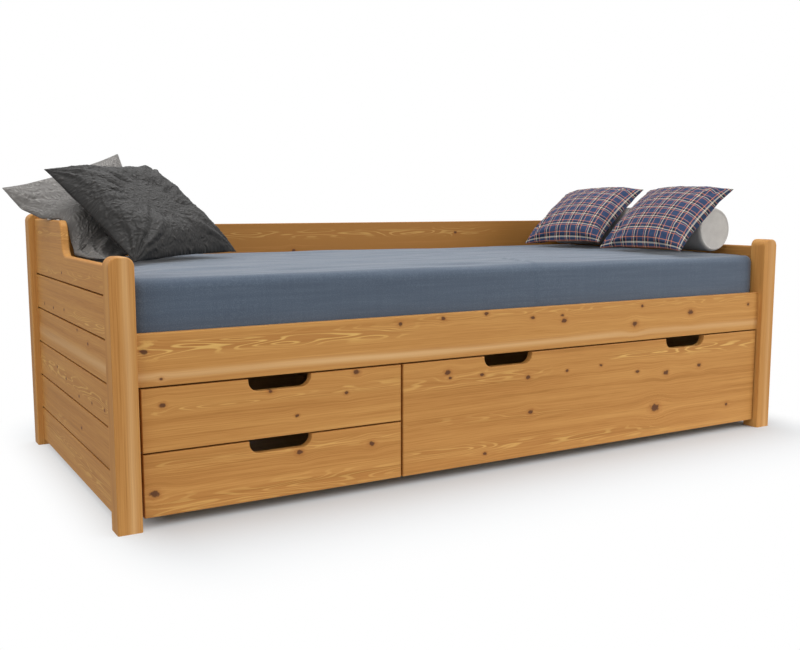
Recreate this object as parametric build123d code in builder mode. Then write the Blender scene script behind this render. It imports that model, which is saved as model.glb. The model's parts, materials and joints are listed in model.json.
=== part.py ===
from build123d import *

import math
import os

# Single day bed of stained pine with three drawers under it, made up with its mattress, pillows and bolster.
# Millimetres. The origin is on the floor under the middle of the frame: X runs along the bed, the drawers
# open towards -Y, and Z is up.

# Mattress and the boards round it
mattress_length = 2000
mattress_width = 900
mattress_height = 140
mattress_crown = 8
mattress_corner_radius = 60
mattress_roll = 22  # radius of the rounded long edges
crown_shoulder_inset = 66  # the crown has risen most of its height this far in
crown_shoulder_share = 0.7
crown_flat_inset = 132
mattress_gap = 2.5  # between the mattress and each board
board_thickness = 20
board_edge_radius = 2

# Posts
post_side = 55
front_post_height = 600
rear_post_height = 682
post_top_radius = 21
post_edge_radius = 3.5

# Drawer fronts and rails, from the floor up
floor_gap = 24
small_front_height = 142
front_gap = 4  # between fronts one above the other, and under the front rail
rail_height = 117
back_rest_height = 140
back_rest_drop = 35  # from the rear posts' tops down to the back rest
left_front_gap = 9  # from the left post to the small fronts
middle_front_gap = 7
right_front_gap = 3
small_front_width = 651

# Rail joints: tenons in the posts, held by pegs driven from the inside
tenon_length = 24
tenon_thickness = 12
tenon_shoulder = 15
mortise_end_gap = 1
peg_radius = 4
peg_length = 37
peg_inset = 9  # from the post's inner face
peg_share = 0.3  # of the rail's height, from its top and bottom edges

# End boards
end_board_count = 6
end_board_height = 95
end_board_gap = 4
end_board_bottom = 16
end_groove_depth = 12
end_groove_gap = 1
low_top_drop = 22  # from the front post's top down to the low part of the end
raised_top_drop = 14  # from the rear post's top down to the raised part
step_place = 66  # where the step between the two parts stands along Y
step_slope = 9  # how far the step leans, half above and half below
step_round_top_share = 0.33  # of the step's height
step_round_bottom_share = 0.38
step_edge_radius = 5

# Slats on their ledges
mattress_sink = 23  # how far the mattress sits below the rails' tops
ledge_height = 30
ledge_depth = 22
ledge_end_gap = 5
slat_count = 10
slat_width = 90
slat_thickness = 18
slat_end_gap = 2
slat_margin = 102.5  # from the end boards to the middle of the first slat

# Partition between the small drawers and the large one
partition_thickness = 20
partition_floor_gap = 20
partition_front_gap = 1.5
foot_radius = 18
foot_edge_radius = 2
foot_share = 0.73  # of the half depth, from the middle

# Drawer boxes
box_depth = 800
box_inset = 10.5  # from a front's end to the box's side
box_lift = 14  # from a front's lower edge up to the box
small_side_height = 104
large_side_height = 240
side_thickness = 15
bottom_thickness = 6
bottom_lift = 12
bottom_groove_depth = 5
bottom_play = 0.5  # between the bottom panel's edge and the end of its groove

# Runners in the grooves of the drawer sides
runner_height = 18
runner_play = 1
runner_bite = 7  # how far a runner reaches into its groove
runner_front_gap = 2.5
runner_rear_lap = 15  # on the rear post

# Finger notches in the top edges of the fronts
notch_width = 158
notch_depth = 30
notch_corner_radius = 26
large_notch_spacing = 660
large_notch_shift = 7  # the pair sits this far right of the front's middle

# Wood screws
screw_radius = 2
screw_head_radius = 4
screw_head_height = 2.5
screw_grip = 15  # how far a screw enters the piece behind
partition_screw_share = 0.88  # of the half depth, for the outer screws in the partition

edge_margin = 1  # for telling one edge of a board from another

# Soft pieces. A place is a distance from the end boards, from the back rest, and above the mattress.
seam_half = 3
seam_bulge = 0.5  # at the first and last edge of a cushion
cushion_steps = 8
cushion_draw_in = 10  # how far the middle of each side pulls in
cushion_tip_share = 0.985  # the corners stop this share of the way out
dark_pillow_place = (292, 460, 10)  # the middle of its lower edge
dark_pillow_side = 398
dark_pillow_front = 62
dark_pillow_back = 20
dark_pillow_heading_angle = 29.5
dark_pillow_lean_angle = 36.5
dark_pillow_rise_angle = 1.3
light_pillow_front = 34
light_pillow_back = 24
light_pillow_rest = 10  # from the raised end up to the edge of the pillow lying over it

# The light pillow's edge bends over the raised end. Here a height is a share of the way from the mattress
# up to where the pillow rests.
light_pillow_left_edge = [
    (72, 492, 0.12),
    (30, 448, 0.13),
    (9, 400, 0.18),
    (7, 368, 0.46),
    (6, 328, 0.83),
    (-1, 284, 1.0),
    (-40, 234, 1.0),
    (-84, 194, 1.18),
    (-126, 162, 1.64),
]
light_pillow_lower_right = (312, 152, 0.14)
light_pillow_upper_right = (228, 12, 2.53)

plaid_cushion_side = 325
plaid_cushion_front = 48
plaid_cushion_back = 12
rear_plaid_place = (327, 328, 15)
rear_plaid_heading_angle = -76.5
rear_plaid_lean_angle = 34.1
rear_plaid_rise_angle = 2.4
front_plaid_place = (333, 714, 8)
front_plaid_heading_angle = -83.2
front_plaid_lean_angle = 35.9
front_plaid_rise_angle = 0.4
bolster_radius = 70
bolster_length = 768
bolster_end_radius = 10
bolster_gap = 2.5  # from the end boards, and from the mattress
bolster_rear_gap = 4  # from the rear post

# Places worked out from the sizes above
plank_inner_x = mattress_length / 2 + mattress_gap
plank_outer_x = plank_inner_x + board_thickness
post_margin = (post_side - board_thickness) / 2
post_outer_x = plank_outer_x + post_margin
post_inner_x = post_outer_x - post_side
rail_inner_y = mattress_width / 2 + mattress_gap
rail_outer_y = rail_inner_y + board_thickness
rail_middle_y = rail_inner_y + board_thickness / 2
post_outer_y = rail_outer_y + post_margin
post_inner_y = post_outer_y - post_side

large_front_height = 2 * small_front_height + front_gap
rail_bottom = floor_gap + large_front_height + front_gap
rail_top = rail_bottom + rail_height
back_rest_top = rear_post_height - back_rest_drop
back_rest_bottom = back_rest_top - back_rest_height
low_top = front_post_height - low_top_drop
raised_top = rear_post_height - raised_top_drop
step_height = raised_top - low_top
end_board_pitch = end_board_height + end_board_gap
top_board_bottom = end_board_bottom + (end_board_count - 1) * end_board_pitch

mattress_bottom = rail_top - mattress_sink
mattress_top = mattress_bottom + mattress_height + mattress_crown
ledge_top = mattress_bottom - slat_thickness
ledge_bottom = ledge_top - ledge_height

small_left = left_front_gap - post_inner_x
small_right = small_left + small_front_width
large_left = small_right + middle_front_gap
large_right = post_inner_x - right_front_gap
partition_left = (small_right + large_left - partition_thickness) / 2
partition_right = partition_left + partition_thickness
upper_front_bottom = floor_gap + small_front_height + front_gap
runner_front = -rail_inner_y + runner_front_gap
runner_rear = post_inner_y + runner_rear_lap

os.makedirs("parts", exist_ok=True)


def save(piece, name):
    """Label a finished piece and write it."""
    piece.part.label = name
    export_step(piece.part, f"parts/{name}.step")


def block(low, high, mode=Mode.ADD):
    """A plain board between two opposite corners."""
    sizes = [far - near for near, far in zip(low, high)]
    middle = [(far + near) / 2 for near, far in zip(low, high)]
    with Locations(tuple(middle)):
        Box(*sizes, mode=mode)


def facing_front(y):
    """The upright plane at a depth, seen from the front: X to the right, height up, normal to -Y."""
    return Plane(origin=(0, y, 0), x_dir=(1, 0, 0), z_dir=(0, -1, 0))


def facing_right(x):
    """The upright plane at a place along the bed: Y to the right, height up, normal to +X."""
    return Plane(origin=(x, 0, 0), x_dir=(0, 1, 0), z_dir=(1, 0, 0))


def screws(places, mode=Mode.ADD):
    """Countersunk screws, each with its head flush in a plane and running back from it."""
    top = (Align.CENTER, Align.CENTER, Align.MAX)
    for plane, length in places:
        with Locations(plane.location):
            Cylinder(screw_radius, length, align=top, mode=mode)
            Cone(screw_radius, screw_head_radius, screw_head_height, align=top, mode=mode)


def pegs(side_x, side_y, bottom, top, mode=Mode.ADD):
    """The two pegs that hold one rail's tenon in one post."""
    height = top - bottom
    for z in (bottom + height * peg_share, top - height * peg_share):
        start = Plane(
            origin=(side_x * (post_inner_x + peg_inset), side_y * post_inner_y, z),
            x_dir=(1, 0, 0),
            z_dir=(0, -side_y, 0),
        )
        with Locations(start.location):
            Cylinder(peg_radius, peg_length, align=(Align.CENTER, Align.CENTER, Align.MAX), mode=mode)


def sides_between(side, near, far):
    """Two places on one side of the middle, the lower value first."""
    return sorted((side * near, side * far))


# Each drawer: its front's ends and lower edge, its height, and the height of its box
drawers = {
    "lower_drawer": (small_left, small_right, floor_gap, small_front_height, small_side_height),
    "upper_drawer": (small_left, small_right, upper_front_bottom, small_front_height, small_side_height),
    "large_drawer": (large_left, large_right, floor_gap, large_front_height, large_side_height),
}


def runner_middle(name):
    """The height of a drawer's runners, at the middle of its sides."""
    bottom, side_height = drawers[name][2], drawers[name][4]
    return bottom + box_lift + side_height / 2


def runner_spans(name):
    """Where a drawer's two runners start and end along X: left one, then right one."""
    left, right = drawers[name][:2]
    carrier_left = partition_right if name == "large_drawer" else -post_inner_x
    carrier_right = post_inner_x if name == "large_drawer" else partition_left
    return [
        (carrier_left, left + box_inset + runner_bite),
        (right - box_inset - runner_bite, carrier_right),
    ]


def runner_screws(name, on_partition):
    """The screws of a drawer's runners: those in the partition, or those in the two posts."""
    places = []
    for index, (start, end) in enumerate(runner_spans(name)):
        held_by_partition = (index == 0) == (name == "large_drawer")
        if held_by_partition != on_partition:
            continue
        face = end if index == 0 else start
        outward = 1 if index == 0 else -1
        lap = (post_inner_y + runner_rear) / 2
        middles = [-lap, lap]
        if on_partition:
            middles = [-rail_inner_y * partition_screw_share, 0, rail_inner_y * partition_screw_share]
        for y in middles:
            plane = Plane(origin=(face, y, runner_middle(name)), x_dir=(0, 1, 0), z_dir=(outward, 0, 0))
            places.append((plane, end - start + screw_grip))
    return places


def make_post(name, side_x, side_y, height, groove_top, rails):
    """A post with a rounded top, a groove for the end boards and a mortise for each rail."""
    x_low, x_high = sides_between(side_x, post_inner_x, post_outer_x)
    y_low, y_high = sides_between(side_y, post_inner_y, post_outer_y)
    with BuildPart() as post:
        with BuildSketch(facing_front(y_high)) as outline:
            with Locations(((x_low + x_high) / 2, height / 2)):
                Rectangle(post_side, height)
            fillet(outline.vertices().group_by(Axis.Y)[-1], post_top_radius)
        extrude(amount=post_side)
        outlines = post.faces().filter_by(Axis.Y).edges()
        fillet(outlines.filter_by(lambda edge: edge.center().Z > post_edge_radius), post_edge_radius)
        groove_x = sides_between(side_x, plank_inner_x, plank_outer_x)
        groove_y = sides_between(side_y, post_inner_y, post_inner_y + end_groove_depth)
        block(
            (groove_x[0], groove_y[0], end_board_bottom),
            (groove_x[1], groove_y[1], groove_top),
            mode=Mode.SUBTRACT,
        )
        for bottom, top in rails:
            mortise_x = sides_between(side_x, post_inner_x, post_inner_x + tenon_length + mortise_end_gap)
            mortise_y = sides_between(
                side_y, rail_middle_y - tenon_thickness / 2, rail_middle_y + tenon_thickness / 2
            )
            block(
                (mortise_x[0], mortise_y[0], bottom + tenon_shoulder),
                (mortise_x[1], mortise_y[1], top - tenon_shoulder),
                mode=Mode.SUBTRACT,
            )
            pegs(side_x, side_y, bottom, top, mode=Mode.SUBTRACT)
        for drawer in drawers:
            on_this_side = (drawer == "large_drawer") == (side_x > 0)
            if on_this_side:
                near = [place for place in runner_screws(drawer, False) if place[0].origin.Y * side_y > 0]
                screws(near, mode=Mode.SUBTRACT)
    save(post, name)


def make_rail(name, side_y, bottom, top):
    """A rail between two posts, with a pegged tenon at each end."""
    y_low, y_high = sides_between(side_y, rail_inner_y, rail_outer_y)
    tenon_y = sides_between(
        side_y, rail_middle_y - tenon_thickness / 2, rail_middle_y + tenon_thickness / 2
    )
    tenon_x = post_inner_x + tenon_length
    with BuildPart() as rail:
        block((-post_inner_x, y_low, bottom), (post_inner_x, y_high, top))
        fillet(rail.edges().filter_by(Axis.X), board_edge_radius)
        block((-tenon_x, tenon_y[0], bottom + tenon_shoulder), (tenon_x, tenon_y[1], top - tenon_shoulder))
        for side_x in (-1, 1):
            pegs(side_x, side_y, bottom, top, mode=Mode.SUBTRACT)
    save(rail, name)


def make_end_board(name, side_x, bottom, top):
    """A straight board of an end, let into the grooves of its two posts."""
    x_low, x_high = sides_between(side_x, plank_inner_x, plank_outer_x)
    half = post_inner_y + end_groove_depth - end_groove_gap
    with BuildPart() as end_board:
        block((x_low, -half, bottom), (x_high, half, top))
        fillet(end_board.edges().filter_by(Axis.Y), board_edge_radius)
    save(end_board, name)


def make_top_board(name, side_x):
    """The stepped top board of an end: low at the front, raised behind the step."""
    x_low, x_high = sides_between(side_x, plank_inner_x, plank_outer_x)
    half = post_inner_y + end_groove_depth - end_groove_gap
    with BuildPart() as top_board:
        with BuildSketch(facing_right(x_low)) as outline:
            with BuildLine():
                Polyline(
                    (-half, top_board_bottom),
                    (half, top_board_bottom),
                    (half, raised_top),
                    (step_place + step_slope, raised_top),
                    (step_place - step_slope, low_top),
                    (-half, low_top),
                    close=True,
                )
            make_face()
            inner = outline.vertices().filter_by(lambda point: abs(point.X) < half - edge_margin)
            fillet(inner.group_by(Axis.Y)[-1], step_height * step_round_top_share)
            foot = outline.vertices().filter_by(lambda point: abs(point.Y - low_top) < edge_margin)
            fillet(foot.group_by(Axis.X)[-1], step_height * step_round_bottom_share)
        extrude(amount=x_high - x_low)
        rims = top_board.faces().filter_by(Axis.X).edges()
        rims = rims.filter_by(lambda edge: abs(edge.center().Y) < half - edge_margin)
        upper = rims.filter_by(lambda edge: edge.center().Z > low_top - edge_margin)
        lower = rims.filter_by(lambda edge: edge.center().Z < top_board_bottom + edge_margin)
        fillet(upper, step_edge_radius)
        fillet(lower, board_edge_radius)
    save(top_board, name)


def slat_middle(index):
    """Where a slat lies along X: they are spread evenly between the two ends."""
    first = -plank_inner_x + slat_margin
    return first + index * 2 * (plank_inner_x - slat_margin) / (slat_count - 1)


def slat_screw_places(index, side_y):
    """The screw at one end of a slat, down into the ledge."""
    y = side_y * (rail_inner_y - ledge_depth / 2)
    plane = Plane(origin=(slat_middle(index), y, mattress_bottom), x_dir=(1, 0, 0), z_dir=(0, 0, 1))
    return [(plane, slat_thickness + screw_grip)]


def make_slat(index):
    """One slat across the bed, resting on both ledges."""
    half = rail_inner_y - slat_end_gap
    middle = slat_middle(index)
    with BuildPart() as slat:
        block(
            (middle - slat_width / 2, -half, ledge_top),
            (middle + slat_width / 2, half, mattress_bottom),
        )
        fillet(slat.edges().filter_by(Axis.Y), board_edge_radius)
        for side_y in (-1, 1):
            screws(slat_screw_places(index, side_y), mode=Mode.SUBTRACT)
    save(slat, f"slat_{index + 1:02d}")


def make_ledge(name, side_y):
    """The batten along a rail that carries the ends of the slats."""
    end = post_inner_x - ledge_end_gap
    y_low, y_high = sides_between(side_y, rail_inner_y - ledge_depth, rail_inner_y)
    with BuildPart() as ledge:
        block((-end, y_low, ledge_bottom), (end, y_high, ledge_top))
        for index in range(slat_count):
            screws(slat_screw_places(index, side_y), mode=Mode.SUBTRACT)
    save(ledge, name)


def make_partition():
    """The upright board between the small drawers and the large one."""
    with BuildPart() as partition:
        block(
            (partition_left, -rail_inner_y + partition_front_gap, partition_floor_gap),
            (partition_right, rail_inner_y, ledge_bottom),
        )
        for drawer in drawers:
            screws(runner_screws(drawer, True), mode=Mode.SUBTRACT)
    save(partition, "partition")
    with BuildPart() as partition_feet:
        for side_y in (-1, 1):
            middle = ((partition_left + partition_right) / 2, side_y * rail_inner_y * foot_share, 0)
            with Locations(middle):
                Cylinder(
                    foot_radius, partition_floor_gap, align=(Align.CENTER, Align.CENTER, Align.MIN)
                )
        rims = partition_feet.edges().filter_by(GeomType.CIRCLE).group_by(Axis.Z)[0]
        fillet(rims, foot_edge_radius)
    save(partition_feet, "partition_feet")


def make_runners(name):
    """The pair of hardwood runners that a drawer slides on."""
    middle = runner_middle(name)
    with BuildPart() as runners:
        for start, end in runner_spans(name):
            block(
                (start, runner_front, middle - runner_height / 2),
                (end, runner_rear, middle + runner_height / 2),
            )
        for on_partition in (False, True):
            screws(runner_screws(name, on_partition), mode=Mode.SUBTRACT)
    save(runners, f"{name}_runners")


def notch_middles(name):
    """Where a drawer front's finger notches are along X."""
    left, right = drawers[name][:2]
    middle = (left + right) / 2
    if name != "large_drawer":
        return [middle]
    half = large_notch_spacing / 2
    return [middle + large_notch_shift - half, middle + large_notch_shift + half]


def make_drawer_front(name):
    """A drawer front with its finger notches and a groove for the bottom panel behind."""
    left, right, bottom, height = drawers[name][:4]
    top = bottom + height
    floor = bottom + box_lift + bottom_lift
    with BuildPart() as drawer_front:
        block((left, -rail_outer_y, bottom), (right, -rail_inner_y, top))
        for middle in notch_middles(name):
            with BuildSketch(facing_front(-rail_inner_y)) as notch:
                with Locations((middle, top)):
                    Rectangle(notch_width, 2 * notch_depth)
                fillet(notch.vertices().group_by(Axis.Y)[0], notch_corner_radius)
            extrude(amount=board_thickness, mode=Mode.SUBTRACT)
        outer = drawer_front.faces().sort_by(Axis.Y)[0]
        fillet(outer.edges(), board_edge_radius)
        block(
            (left + box_inset + side_thickness, -rail_inner_y - bottom_groove_depth, floor),
            (right - box_inset - side_thickness, -rail_inner_y, floor + bottom_thickness),
            mode=Mode.SUBTRACT,
        )
    save(drawer_front, f"{name}_front")


def make_drawer_side(name, side):
    """A drawer side: a groove outside for its runner, and one inside for the bottom panel."""
    left, right, bottom, _, side_height = drawers[name]
    outer = left + box_inset if side < 0 else right - box_inset
    x_low, x_high = sorted((outer, outer - side * side_thickness))
    z_low = bottom + box_lift
    rear = -rail_inner_y + box_depth
    groove_half = runner_height / 2 + runner_play
    groove_x = sorted((outer, outer - side * (runner_bite + runner_play)))
    inner = outer - side * side_thickness
    floor_x = sorted((inner, inner + side * bottom_groove_depth))
    floor = z_low + bottom_lift
    with BuildPart() as drawer_side:
        block((x_low, -rail_inner_y, z_low), (x_high, rear, z_low + side_height))
        middle = runner_middle(name)
        block(
            (groove_x[0], -rail_inner_y, middle - groove_half),
            (groove_x[1], rear, middle + groove_half),
            mode=Mode.SUBTRACT,
        )
        block(
            (floor_x[0], -rail_inner_y, floor),
            (floor_x[1], rear, floor + bottom_thickness),
            mode=Mode.SUBTRACT,
        )
        top_edges = drawer_side.edges().filter_by(Axis.Y).group_by(Axis.Z)[-1]
        fillet(top_edges, board_edge_radius)
    save(drawer_side, f"{name}_side_{'left' if side < 0 else 'right'}")


def make_drawer_back(name):
    """The back of a drawer, between its sides and over the end of the bottom panel."""
    left, right, bottom, _, side_height = drawers[name]
    x_low = left + box_inset + side_thickness
    x_high = right - box_inset - side_thickness
    rear = -rail_inner_y + box_depth
    z_low = bottom + box_lift
    floor = z_low + bottom_lift
    with BuildPart() as drawer_back:
        block((x_low, rear - side_thickness, z_low), (x_high, rear, z_low + side_height))
        block(
            (x_low, rear - side_thickness, floor),
            (x_high, rear - side_thickness + bottom_groove_depth, floor + bottom_thickness),
            mode=Mode.SUBTRACT,
        )
        top_edges = drawer_back.edges().filter_by(Axis.X).group_by(Axis.Z)[-1]
        fillet(top_edges, board_edge_radius)
    save(drawer_back, f"{name}_back")


def make_drawer_bottom(name):
    """The thin bottom panel, let into the grooves all round."""
    left, right, bottom = drawers[name][:3]
    reach = bottom_groove_depth - bottom_play
    x_low = left + box_inset + side_thickness - reach
    x_high = right - box_inset - side_thickness + reach
    y_low = -rail_inner_y
    y_high = -rail_inner_y + box_depth - side_thickness + reach
    floor = bottom + box_lift + bottom_lift
    with BuildPart() as drawer_bottom:
        block((x_low, y_low, floor), (x_high, y_high, floor + bottom_thickness))
    save(drawer_bottom, f"{name}_bottom")


def make_mattress():
    """The mattress: rounded corners and edges, a little crowned, as a stack of rounded outlines."""
    mid_roll = mattress_roll * (1 - math.cos(math.radians(45)))
    levels = [
        (0, mattress_roll),
        (mid_roll, mid_roll),
        (mattress_roll, 0),
        (mattress_height - mattress_roll, 0),
        (mattress_height - mid_roll, mid_roll),
        (mattress_height, mattress_roll),
        (mattress_height + mattress_crown * crown_shoulder_share, crown_shoulder_inset),
        (mattress_height + mattress_crown, crown_flat_inset),
    ]
    with BuildPart() as mattress:
        for height, inset in levels:
            corner = max(mattress_corner_radius - inset, mattress_corner_radius / 2)
            with BuildSketch(Plane.XY.offset(mattress_bottom + height)):
                RectangleRounded(mattress_length - 2 * inset, mattress_width - 2 * inset, corner)
        loft(ruled=True)
    save(mattress, "mattress")


def leaning_corners(lower_middle, heading, lean, rise, side):
    """A leaning square's corners: lower left, lower right, upper right, upper left."""
    along = Vector(1, 0, 0).rotate(Axis.Y, -rise).rotate(Axis.Z, heading)
    up = Vector(0, 1, 0).rotate(Axis.X, lean).rotate(Axis.Z, heading)
    start = lower_middle - along * (side / 2)
    end = lower_middle + along * (side / 2)
    return [start, end, end + up * side, start + up * side]


def make_cushion(name, corners, front, back, left_edge=None):
    """A cushion between four corners: crowned on both faces, each side drawn in between its corners."""
    lower_left, lower_right, upper_right, upper_left = corners
    shares = [step / cushion_steps for step in range(cushion_steps + 1)]
    starts = left_edge or [lower_left + (upper_left - lower_left) * share for share in shares]
    ends = [lower_right + (upper_right - lower_right) * share for share in shares]
    with BuildPart() as cushion:
        for step, share in enumerate(shares):
            before, after = max(step - 1, 0), min(step + 1, cushion_steps)
            downward = starts[before] + ends[before] - starts[after] - ends[after]
            across = (ends[step] - starts[step]).normalized()
            downward = downward - across * downward.dot(across)
            middle = (starts[step] + ends[step]) / 2
            half = (ends[step] - starts[step]).length / 2
            fullness = 4 * share * (1 - share)
            front_height = seam_half + seam_bulge + front * fullness
            back_height = seam_half + seam_bulge + back * fullness
            with BuildSketch(Plane(origin=middle, x_dir=across, z_dir=downward)):
                with BuildLine():
                    Line((-half, -seam_half), (-half, seam_half))
                    ThreePointArc((-half, seam_half), (0, front_height), (half, seam_half))
                    Line((half, seam_half), (half, -seam_half))
                    ThreePointArc((half, -seam_half), (0, -back_height), (-half, -seam_half))
                make_face()
        loft(ruled=True)
        centre = (lower_left + lower_right + upper_right + upper_left) / 4
        right_way = lower_right - lower_left + upper_right - upper_left
        up_way = upper_left - lower_left + upper_right - lower_right
        middle_plane = Plane(origin=centre, x_dir=right_way, z_dir=right_way.cross(up_way))
        tips = [middle_plane.to_local_coords(corner) * cushion_tip_share for corner in corners]
        tips = [Vector(tip.X, tip.Y) for tip in tips]
        with BuildSketch(middle_plane):
            with BuildLine():
                for tip, next_tip in zip(tips[:3], tips[1:]):
                    draw_in_side(tip, next_tip)
                if left_edge:
                    Line(tips[3], tips[0])
                else:
                    draw_in_side(tips[3], tips[0])
            make_face()
        extrude(amount=right_way.length, both=True, mode=Mode.INTERSECT)
    save(cushion, name)


def draw_in_side(tip, next_tip):
    """One side of a cushion's outline, drawn in between two corners."""
    middle = (tip + next_tip) / 2
    ThreePointArc(tip, middle - middle.normalized() * cushion_draw_in, next_tip)


def place_at(side_x, place):
    """The point at a soft piece's place, measured from the left end (-1) or the right end (1)."""
    inward, forward, up = place
    return Vector(side_x * (plank_inner_x - inward), rail_inner_y - forward, mattress_top + up)


def light_pillow_point(place):
    """A point of the light pillow, whose height follows the raised end that it rests on."""
    inward, forward, share = place
    rest_height = raised_top + light_pillow_rest - mattress_top
    return place_at(-1, (inward, forward, share * rest_height))


def make_light_pillow():
    """The pillow that lies over the raised left end: its outer corner hangs out past the boards."""
    left_edge = [light_pillow_point(place) for place in light_pillow_left_edge]
    lower_right = light_pillow_point(light_pillow_lower_right)
    upper_right = light_pillow_point(light_pillow_upper_right)
    corners = [left_edge[0], lower_right, upper_right, left_edge[-1]]
    make_cushion("light_pillow", corners, light_pillow_front, light_pillow_back, left_edge)


def make_bolster():
    """The bolster lying along the right end boards."""
    x = plank_inner_x - bolster_gap - bolster_radius
    z = mattress_bottom + mattress_height + mattress_crown * crown_shoulder_share
    z += bolster_gap + bolster_radius
    rear = post_inner_y - bolster_rear_gap
    with BuildPart() as bolster:
        with BuildSketch(facing_front(rear)):
            with Locations((x, z)):
                Circle(bolster_radius)
        extrude(amount=bolster_length)
        fillet(bolster.edges().filter_by(GeomType.CIRCLE), bolster_end_radius)
    save(bolster, "bolster")


rail_span = (rail_bottom, rail_top)
back_rest_span = (back_rest_bottom, back_rest_top)
for side_x, side_name in ((-1, "left"), (1, "right")):
    make_post(f"front_{side_name}_post", side_x, -1, front_post_height, low_top, [rail_span])
    make_post(
        f"rear_{side_name}_post", side_x, 1, rear_post_height, raised_top, [rail_span, back_rest_span]
    )
    for index in range(end_board_count - 1):
        board_bottom = end_board_bottom + index * end_board_pitch
        make_end_board(
            f"{side_name}_end_board_{index + 1}", side_x, board_bottom, board_bottom + end_board_height
        )
    make_top_board(f"{side_name}_end_top_board", side_x)

make_rail("front_rail", -1, *rail_span)
make_rail("back_rail", 1, *rail_span)
make_rail("back_rest_board", 1, *back_rest_span)
make_ledge("front_slat_ledge", -1)
make_ledge("back_slat_ledge", 1)
for slat_index in range(slat_count):
    make_slat(slat_index)
make_partition()

with BuildPart() as tenon_pegs:
    for side_x in (-1, 1):
        pegs(side_x, -1, *rail_span)
        pegs(side_x, 1, *rail_span)
        pegs(side_x, 1, *back_rest_span)
save(tenon_pegs, "tenon_pegs")

with BuildPart() as slat_screws:
    for slat_index in range(slat_count):
        for side_y in (-1, 1):
            screws(slat_screw_places(slat_index, side_y))
save(slat_screws, "slat_screws")

with BuildPart() as runner_screw_set:
    for drawer_name in drawers:
        for on_partition in (False, True):
            screws(runner_screws(drawer_name, on_partition))
save(runner_screw_set, "runner_screws")

for drawer_name in drawers:
    make_runners(drawer_name)
    make_drawer_front(drawer_name)
    make_drawer_side(drawer_name, -1)
    make_drawer_side(drawer_name, 1)
    make_drawer_back(drawer_name)
    make_drawer_bottom(drawer_name)

make_mattress()
dark_pillow_corners = leaning_corners(
    place_at(-1, dark_pillow_place),
    dark_pillow_heading_angle,
    dark_pillow_lean_angle,
    dark_pillow_rise_angle,
    dark_pillow_side,
)
rear_plaid_corners = leaning_corners(
    place_at(1, rear_plaid_place),
    rear_plaid_heading_angle,
    rear_plaid_lean_angle,
    rear_plaid_rise_angle,
    plaid_cushion_side,
)
front_plaid_corners = leaning_corners(
    place_at(1, front_plaid_place),
    front_plaid_heading_angle,
    front_plaid_lean_angle,
    front_plaid_rise_angle,
    plaid_cushion_side,
)
make_cushion("dark_pillow", dark_pillow_corners, dark_pillow_front, dark_pillow_back)
make_cushion("rear_plaid_cushion", rear_plaid_corners, plaid_cushion_front, plaid_cushion_back)
make_cushion("front_plaid_cushion", front_plaid_corners, plaid_cushion_front, plaid_cushion_back)
make_light_pillow()
make_bolster()
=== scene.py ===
"""Looks of the storage bed: stained pine boards, a fitted sheet, crushed pillows, plaid cushions and a
bolster."""

import json
import math

import bmesh
import bpy
import numpy as np
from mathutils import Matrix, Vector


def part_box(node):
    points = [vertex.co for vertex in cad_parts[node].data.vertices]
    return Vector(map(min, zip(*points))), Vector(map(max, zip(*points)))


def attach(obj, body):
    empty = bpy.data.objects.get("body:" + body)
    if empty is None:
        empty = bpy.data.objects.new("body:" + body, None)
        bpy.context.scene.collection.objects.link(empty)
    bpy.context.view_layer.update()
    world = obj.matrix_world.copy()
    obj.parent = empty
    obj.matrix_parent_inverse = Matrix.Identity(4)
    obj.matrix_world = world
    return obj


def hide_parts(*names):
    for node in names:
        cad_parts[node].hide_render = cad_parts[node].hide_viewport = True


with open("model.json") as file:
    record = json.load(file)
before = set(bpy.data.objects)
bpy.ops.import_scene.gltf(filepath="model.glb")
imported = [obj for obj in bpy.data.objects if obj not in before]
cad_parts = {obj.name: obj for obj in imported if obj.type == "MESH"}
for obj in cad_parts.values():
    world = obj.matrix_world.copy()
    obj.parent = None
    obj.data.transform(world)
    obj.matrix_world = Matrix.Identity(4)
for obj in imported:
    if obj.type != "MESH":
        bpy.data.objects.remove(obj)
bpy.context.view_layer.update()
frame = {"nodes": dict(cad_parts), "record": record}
scene = bpy.context.scene

# Camera: its place, turn and lens were found from straight edges in the photo

CAMERA_PLACE = (-1.5285, -2.522, 0.7093)
CAMERA_TILT, CAMERA_TURN = math.radians(82.87), math.radians(-30.36)
SENSOR_WIDTH, LENS = 36, 43.405

camera = bpy.data.objects.new("camera", bpy.data.cameras.new("camera"))
camera.location = CAMERA_PLACE
camera.rotation_euler = (CAMERA_TILT, 0, CAMERA_TURN)
camera.data.sensor_width = SENSOR_WIDTH
camera.data.lens = LENS
scene.collection.objects.link(camera)
scene.camera = camera
scene.view_settings.view_transform = "Standard"

# Materials


def colour(hex_code):
    """An sRGB hex colour as linear red, green, blue and alpha."""
    parts = [int(hex_code[i : i + 2], 16) / 255 for i in (1, 3, 5)]
    linear = [p / 12.92 if p <= 0.04045 else ((p + 0.055) / 1.055) ** 2.4 for p in parts]
    return (*linear, 1.0)


def add(tree, kind, inputs=None, stops=(), **settings):
    """Adds a node with its settings. A value that is a socket is linked, and any other is set. Stops of
    (place, sRGB hex) go to a colour ramp."""
    node = tree.nodes.new("ShaderNode" + kind)
    for key, value in settings.items():
        setattr(node, key, value)
    for number, (position, hex_code) in enumerate(stops):
        elements = node.color_ramp.elements
        element = elements[number] if number < len(elements) else elements.new(position)
        element.position, element.color = position, colour(hex_code)
    for key, value in (inputs or {}).items():
        if isinstance(value, bpy.types.NodeSocket):
            tree.links.new(value, node.inputs[key])
        else:
            node.inputs[key].default_value = value
    return node


def new_material(name):
    """An empty material with its output, and its node tree."""
    material = bpy.data.materials.new(name)
    material.use_nodes = True
    material.node_tree.nodes.clear()
    return material, material.node_tree


def finish_material(tree, shader):
    """Links the shader to the material's output."""
    add(tree, "OutputMaterial", {"Surface": shader})


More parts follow.
